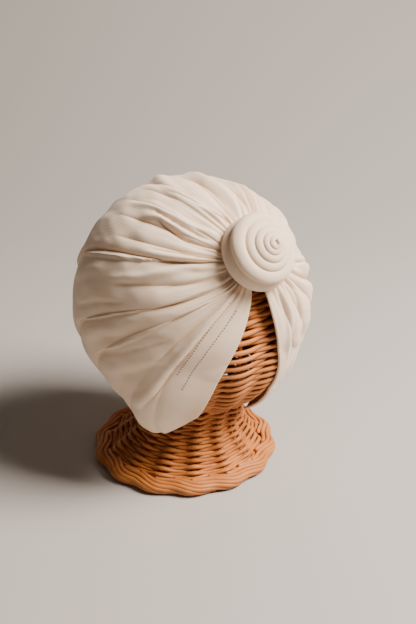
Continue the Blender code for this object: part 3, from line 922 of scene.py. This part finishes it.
def roll_places():
    """For each point of the roll: reach from the coil's axis, height and thickness."""
    places = []
    while True:
        turn = len(places) / POINTS_PER_TURN
        thick = float(np.interp(turn, ROLL[:, 0], ROLL[:, 1])) * ROLL_THICK
        if turn < FIRST_TURNS[-1, 0]:
            reach = float(np.interp(turn, FIRST_TURNS[:, 0], FIRST_TURNS[:, 1])) * COIL_REACH
            height = float(np.interp(turn, FIRST_TURNS[:, 0], FIRST_TURNS[:, 2])) * ROLL_THICK
        else:
            outer = places[-POINTS_PER_TURN]
            apart = (outer[2] + thick) / 2 + ROLL_GAP
            reach = outer[0] - apart * math.cos(DOME_SLOPE)
            height = outer[1] + apart * math.sin(DOME_SLOPE)
        if reach < 0.12 * thick:
            return np.array(places)
        places.append((reach, height, thick))


def settle(values, half):
    """A running mean, so that the tables' corners don't show."""
    padded = np.pad(values, half, mode="edge")
    return np.convolve(padded, np.ones(2 * half + 1) / (2 * half + 1), mode="valid")


places = roll_places()
turn = np.arange(len(places)) / POINTS_PER_TURN * 2 * math.pi + COIL_START
reach_out, height, thick = (settle(places[:, i], 6) for i in range(3))
COIL_RAISE, COIL_ASIDE, COIL_LIFT, COIL_TURN = 0.0012, 0.0012, 0.0006, math.radians(2.5)
coil_seat = CROWN_CENTRE + COIL_AXIS * (CROWN_RADIUS - DIP + FIT_GAP + COIL_LIFT)
coil_seat = coil_seat + COIL_UP * COIL_RAISE - WEARERS_RIGHT * COIL_ASIDE
turn_left = np.array(Matrix.Rotation(COIL_TURN, 3, "Z"))
coil_right, coil_up, coil_axis = (turn_left @ v for v in (-WEARERS_RIGHT, COIL_UP, COIL_AXIS))
spoke = np.cos(turn)[:, None] * coil_right + np.sin(turn)[:, None] * coil_up
roll_line = coil_seat + spoke * reach_out[:, None] + height[:, None] * coil_axis
lean = ease((turn - COIL_START) / (2 * math.pi) - 0.8)[:, None]
roll_out = unit(spoke * (1.0 - 0.55 * lean) + coil_axis * (0.35 + 0.65 * lean))
coil = join_tubes(
    "rolled_coil",
    [tube(roll_line, roll_out, thick * 1.16, thick, sides=20, power=2.3)],
    coil_jersey,
    "cloth",
)
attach(coil, "root")
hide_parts("coil_roll")
print(f"the roll is {len(places) / POINTS_PER_TURN:.1f} turns long")

# %% [markdown]
# ## Peeled willow
#
# Willow that was boiled before peeling is tan to orange. Each rod has its own tint, long fine
# grain along it, and a waxy skin that catches the light.


# %% Peeled willow
def willow(name, light, dark):
    look = bpy.data.materials.new(name)
    look.use_nodes = True
    bench = Bench(look.node_tree)
    shader = look.node_tree.nodes["Principled BSDF"]
    place = bench.add("ShaderNodeTexCoord")
    blotch = place_group(
        bench, blotching, Place=place.outputs["Object"], Scale=95.0, Light=light, Dark=dark
    )
    own = bench.add("ShaderNodeAttribute", attribute_name="tint")
    tinted = bench.mix(
        bench.span(own.outputs["Fac"], 0.0, 1.0, 0.0, 0.7),
        blotch.outputs["Colour"],
        (dark[0] * 0.72, dark[1] * 0.62, dark[2] * 0.5, 1.0),
    )
    where = bench.add("ShaderNodeUVMap", uv_map="rod")
    stretch = bench.add("ShaderNodeMapping")
    stretch.inputs["Scale"].default_value = (9.0, 60.0, 1.0)
    bench.set(stretch.inputs["Vector"], where.outputs[0])
    grain = bench.noise(stretch.outputs[0], 3.0, 3.0, 0.6)
    shaded = bench.mix(
        bench.span(grain, 0.35, 0.75, 0.0, 0.35),
        tinted,
        (light[0] * 1.1, light[1] * 1.1, light[2] * 1.05, 1.0),
    )
    bench.set(shader.inputs["Base Color"], shaded)
    bench.set(shader.inputs["Roughness"], bench.span(grain, 0.3, 0.7, 0.42, 0.6))
    shader.inputs["Specular IOR Level"].default_value = 0.3
    bump = bench.add("ShaderNodeBump")
    bump.inputs["Strength"].default_value = 0.35
    bump.inputs["Distance"].default_value = 0.0002
    bench.set(bump.inputs["Height"], grain)
    bench.set(shader.inputs["Normal"], bump.outputs["Normal"])
    return look


rods = willow("peeled_willow_rods", (0.58, 0.22, 0.058, 1.0), (0.43, 0.14, 0.030, 1.0))

# %% [markdown]
# ## The woven ball
#
# The ball is randed: each row is one rod that passes in front of one stake and behind the
# next, and the row above does the opposite. A row is a circle whose distance from the middle
# swings in and out once for every two stakes. There are only 14 stakes, so between them the
# rods lie close, and at each stake the rods behind it leave dark lens-shaped gaps.

# %% The woven ball
STAKES, STAKE = 14, 0.0030
BALL_STAKE_AT, FOOT_STAKE_AT = math.radians(-100.4), math.radians(-117.5)
WEAVE_SWING, ROW_PITCH = 0.0024, 0.0026
WEAVE_RADIUS = 0.0632
NECK_TILT = math.pi - math.asin(0.060 / 0.132)
POINTS_PER_STAKE = 12
draw = np.random.default_rng(7)
angles = np.arange(STAKES * POINTS_PER_STAKE) * 2 * math.pi / (STAKES * POINTS_PER_STAKE)


def in_front(angles, first_stake, row, tight=1.5):
    """1 where a row passes in front of a stake, -1 where it passes behind, 0 between."""
    swing = np.cos((angles - first_stake) * STAKES / 2 + row * math.pi)
    return np.sign(swing) * np.abs(swing) ** tight


ball_tubes = []
row_tilts = np.arange(NECK_TILT - 0.02, 0.06, -ROW_PITCH / WEAVE_RADIUS)
for row, tilt in enumerate(row_tilts):
    front = in_front(angles, BALL_STAKE_AT, row)
    wander = 0.00025 * np.sin(angles * 2 + draw.uniform(0, 6.28)) + draw.normal(0, 0.00008)
    here = tilt + wander / WEAVE_RADIUS
    outward = np.stack(
        (np.sin(here) * np.cos(angles), np.sin(here) * np.sin(angles), np.cos(here)), axis=-1
    )
    swing = WEAVE_SWING * front
    line = outward * (WEAVE_RADIUS + swing)[:, None] + np.array((0.0, 0.0, BALL_HEIGHT))
    size = draw.uniform(0.95, 1.03)
    tall = size * (0.00265 + 0.00060 * np.maximum(front, 0.0))
    deep = size * 0.0025
    tint = draw.uniform(0.0, 1.0) ** 2
    ball_tubes.append(tube(line, outward, tall, deep, closed=True, tint=tint))
stake_tilts = np.linspace(NECK_TILT, 0.16, 50)
for stake in range(STAKES):
    angle = BALL_STAKE_AT + stake * 2 * math.pi / STAKES
    outward = np.stack(
        (
            np.sin(stake_tilts) * math.cos(angle),
            np.sin(stake_tilts) * math.sin(angle),
            np.cos(stake_tilts),
        ),
        axis=-1,
    )
    line = outward * (WEAVE_RADIUS - 0.0004) + np.array((0.0, 0.0, BALL_HEIGHT))
    ball_tubes.append(tube(line, outward, STAKE, STAKE * 0.7, tint=draw.uniform(0.6, 1.0)))
ball = join_tubes("woven_ball", ball_tubes, rods)
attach(ball, "root")
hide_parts("wicker_ball")

# %% [markdown]
# ## The woven foot
#
# The foot goes on from under the ball on stakes of its own, which spread like a trumpet. Its
# rods are thinner, and near the edge they run straight from stake to stake, so the brim is a
# soft polygon. The foot leans a little, so its rows are sheared as the CAD model's are.

# %% The woven foot
FOOT_LEAN = np.array((-0.0042, 0.0057, 0.0))
FOOT_EDGE_HEIGHT = 0.006
FOOT_TOP = BALL_HEIGHT - math.sqrt(BALL_RADIUS**2 - 0.030**2) - FIT_GAP
FOOT_PROFILE = np.array(
    (
        # radius, height
        (0.0315, FOOT_TOP),
        (0.0315, 0.0350),
        (0.0322, 0.0280),
        (0.0350, 0.0220),
        (0.0400, 0.0165),
        (0.0450, 0.0120),
        (0.0530, 0.0070),
    )
)


def lean_over(points):
    share = (FOOT_TOP - points[..., 2:]) / (FOOT_TOP - FOOT_EDGE_HEIGHT)
    return points + FOOT_LEAN * share


run = np.concatenate(((0.0,), np.hypot(*np.diff(FOOT_PROFILE, axis=0).T).cumsum()))
fine = np.linspace(0.0, run[-1], 240)
skin_r, skin_z = (settle(np.interp(fine, run, FOOT_PROFILE[:, i]), 14) for i in (0, 1))
slope_r, slope_z = np.gradient(skin_r), np.gradient(skin_z)


def foot_place(at):
    """Radius, height and outward normal on the foot's skin, at a length down from its neck."""
    r, z, dr, dz = (float(np.interp(at, fine, v)) for v in (skin_r, skin_z, slope_r, slope_z))
    steep = math.hypot(dr, dz)
    return r, z, -dz / steep, dr / steep


FOOT_PITCH, FOOT_ROD_DEPTH, FOOT_INSET = 0.00205, 0.0023, 0.0030
foot_tubes = []
for row, at in enumerate(np.arange(0.0008, run[-1] - 0.0004, FOOT_PITCH)):
    r, z, out_r, out_z = foot_place(at)
    brim = float(ease((r - 0.043) / 0.006))
    front = in_front(angles, FOOT_STAKE_AT, row, 2.6)
    around = (angles - FOOT_STAKE_AT) % (2 * math.pi / STAKES) - math.pi / STAKES
    straight = math.cos(math.pi / STAKES) / np.cos(around)
    radius = (r - out_r * FOOT_INSET) * (1.0 + brim * (straight - 1.0))
    flat = np.stack((np.cos(angles), np.sin(angles), np.zeros_like(angles)), axis=-1)
    outward = flat * out_r + np.array((0.0, 0.0, out_z))
    ridge = np.cos((angles - FOOT_STAKE_AT) * STAKES)
    swing = (0.0020 - 0.0009 * brim) * front + 0.0008 * ridge
    line = flat * radius[:, None] + np.array((0.0, 0.0, z - out_z * FOOT_INSET))
    line = line + outward * swing[:, None]
    size = draw.uniform(0.95, 1.03)
    tall = size * (0.00240 + 0.00045 * np.maximum(front, 0.0))
    tint = draw.uniform(0, 1) ** 2
    line = lean_over(line)
    foot_tubes.append(tube(line, outward, tall, FOOT_ROD_DEPTH, closed=True, tint=tint))
for stake in range(STAKES):
    angle = FOOT_STAKE_AT + stake * 2 * math.pi / STAKES
    spots = np.array([foot_place(at) for at in np.linspace(0.0, run[-1], 24)])
    flat = np.array((math.cos(angle), math.sin(angle), 0.0))
    upright = np.array((0.0, 0.0, 1.0))
    outward = flat * spots[:, 2:3] + upright * spots[:, 3:4]
    line = flat * spots[:, :1] + upright * spots[:, 1:2] - outward * 0.0032
    foot_tubes.append(tube(lean_over(line), outward, 0.0028, 0.0020, tint=draw.uniform(0.6, 1.0)))
foot = join_tubes("woven_foot", foot_tubes, rods)
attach(foot, "root")
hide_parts("wicker_foot")

# %% [markdown]
# ## The border
#
# At the edge, each stake's end is split, bent sideways, laid over its neighbours and tucked
# under them. So the border is 14 pairs of rods, each a little further round than the last,
# and it bulges where a pair turns over the edge.

# %% The border
BORDER_PATH = np.array(
    (
        # share, radius, height
        (0.00, 0.0495, 0.0072),
        (0.20, 0.0525, 0.0076),
        (0.45, 0.0562, 0.0066),
        (0.70, 0.0575, 0.0044),
        (0.90, 0.0568, 0.0024),
        (1.00, 0.0550, 0.0016),
    )
)
BORDER_SPAN, BORDER_ROD = 2.6 * 2 * math.pi / STAKES, 0.0029
BULGE_AT, BULGE = math.radians(-119.5), 0.0010
border_tubes = []
for stake in range(STAKES):
    for twin, offset in enumerate((0.0, 0.5)):
        share = np.linspace(0.0, 1.0, 40)
        angle = BULGE_AT + (stake + offset) * 2 * math.pi / STAKES + share * BORDER_SPAN
        wave = np.cos((angle - BULGE_AT) * STAKES)
        eased = share + 0.035 * np.sin((angle - BULGE_AT) * STAKES)
        r = settle(np.interp(eased, BORDER_PATH[:, 0], BORDER_PATH[:, 1]), 2)
        z = settle(np.interp(eased, BORDER_PATH[:, 0], BORDER_PATH[:, 2]), 2)
        r = r + BULGE * wave
        line = np.stack((r * np.cos(angle), r * np.sin(angle), z), axis=-1)
        line = line + np.array((FOOT_LEAN[0], FOOT_LEAN[1], 0.0))
        upward = 0.9 - 0.9 * share
        outward = unit(np.stack((np.cos(angle), np.sin(angle), upward), axis=-1))
        size = BORDER_ROD * draw.uniform(0.94, 1.04)
        border_tubes.append(
            tube(line, outward, size, size * 0.9, sides=8, tint=draw.uniform(0.0, 0.5))
        )
border = join_tubes("bent_stake_border", border_tubes, rods)
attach(border, "root")
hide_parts("foot_border")

# %% [markdown]
# ## The size
#
# The dressed model has to keep the CAD model's size, so the box of everything it renders is
# printed.

# %% The size
low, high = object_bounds()
print("visual box, mm:", [round(v * 1000, 1) for v in (*low, *high)])
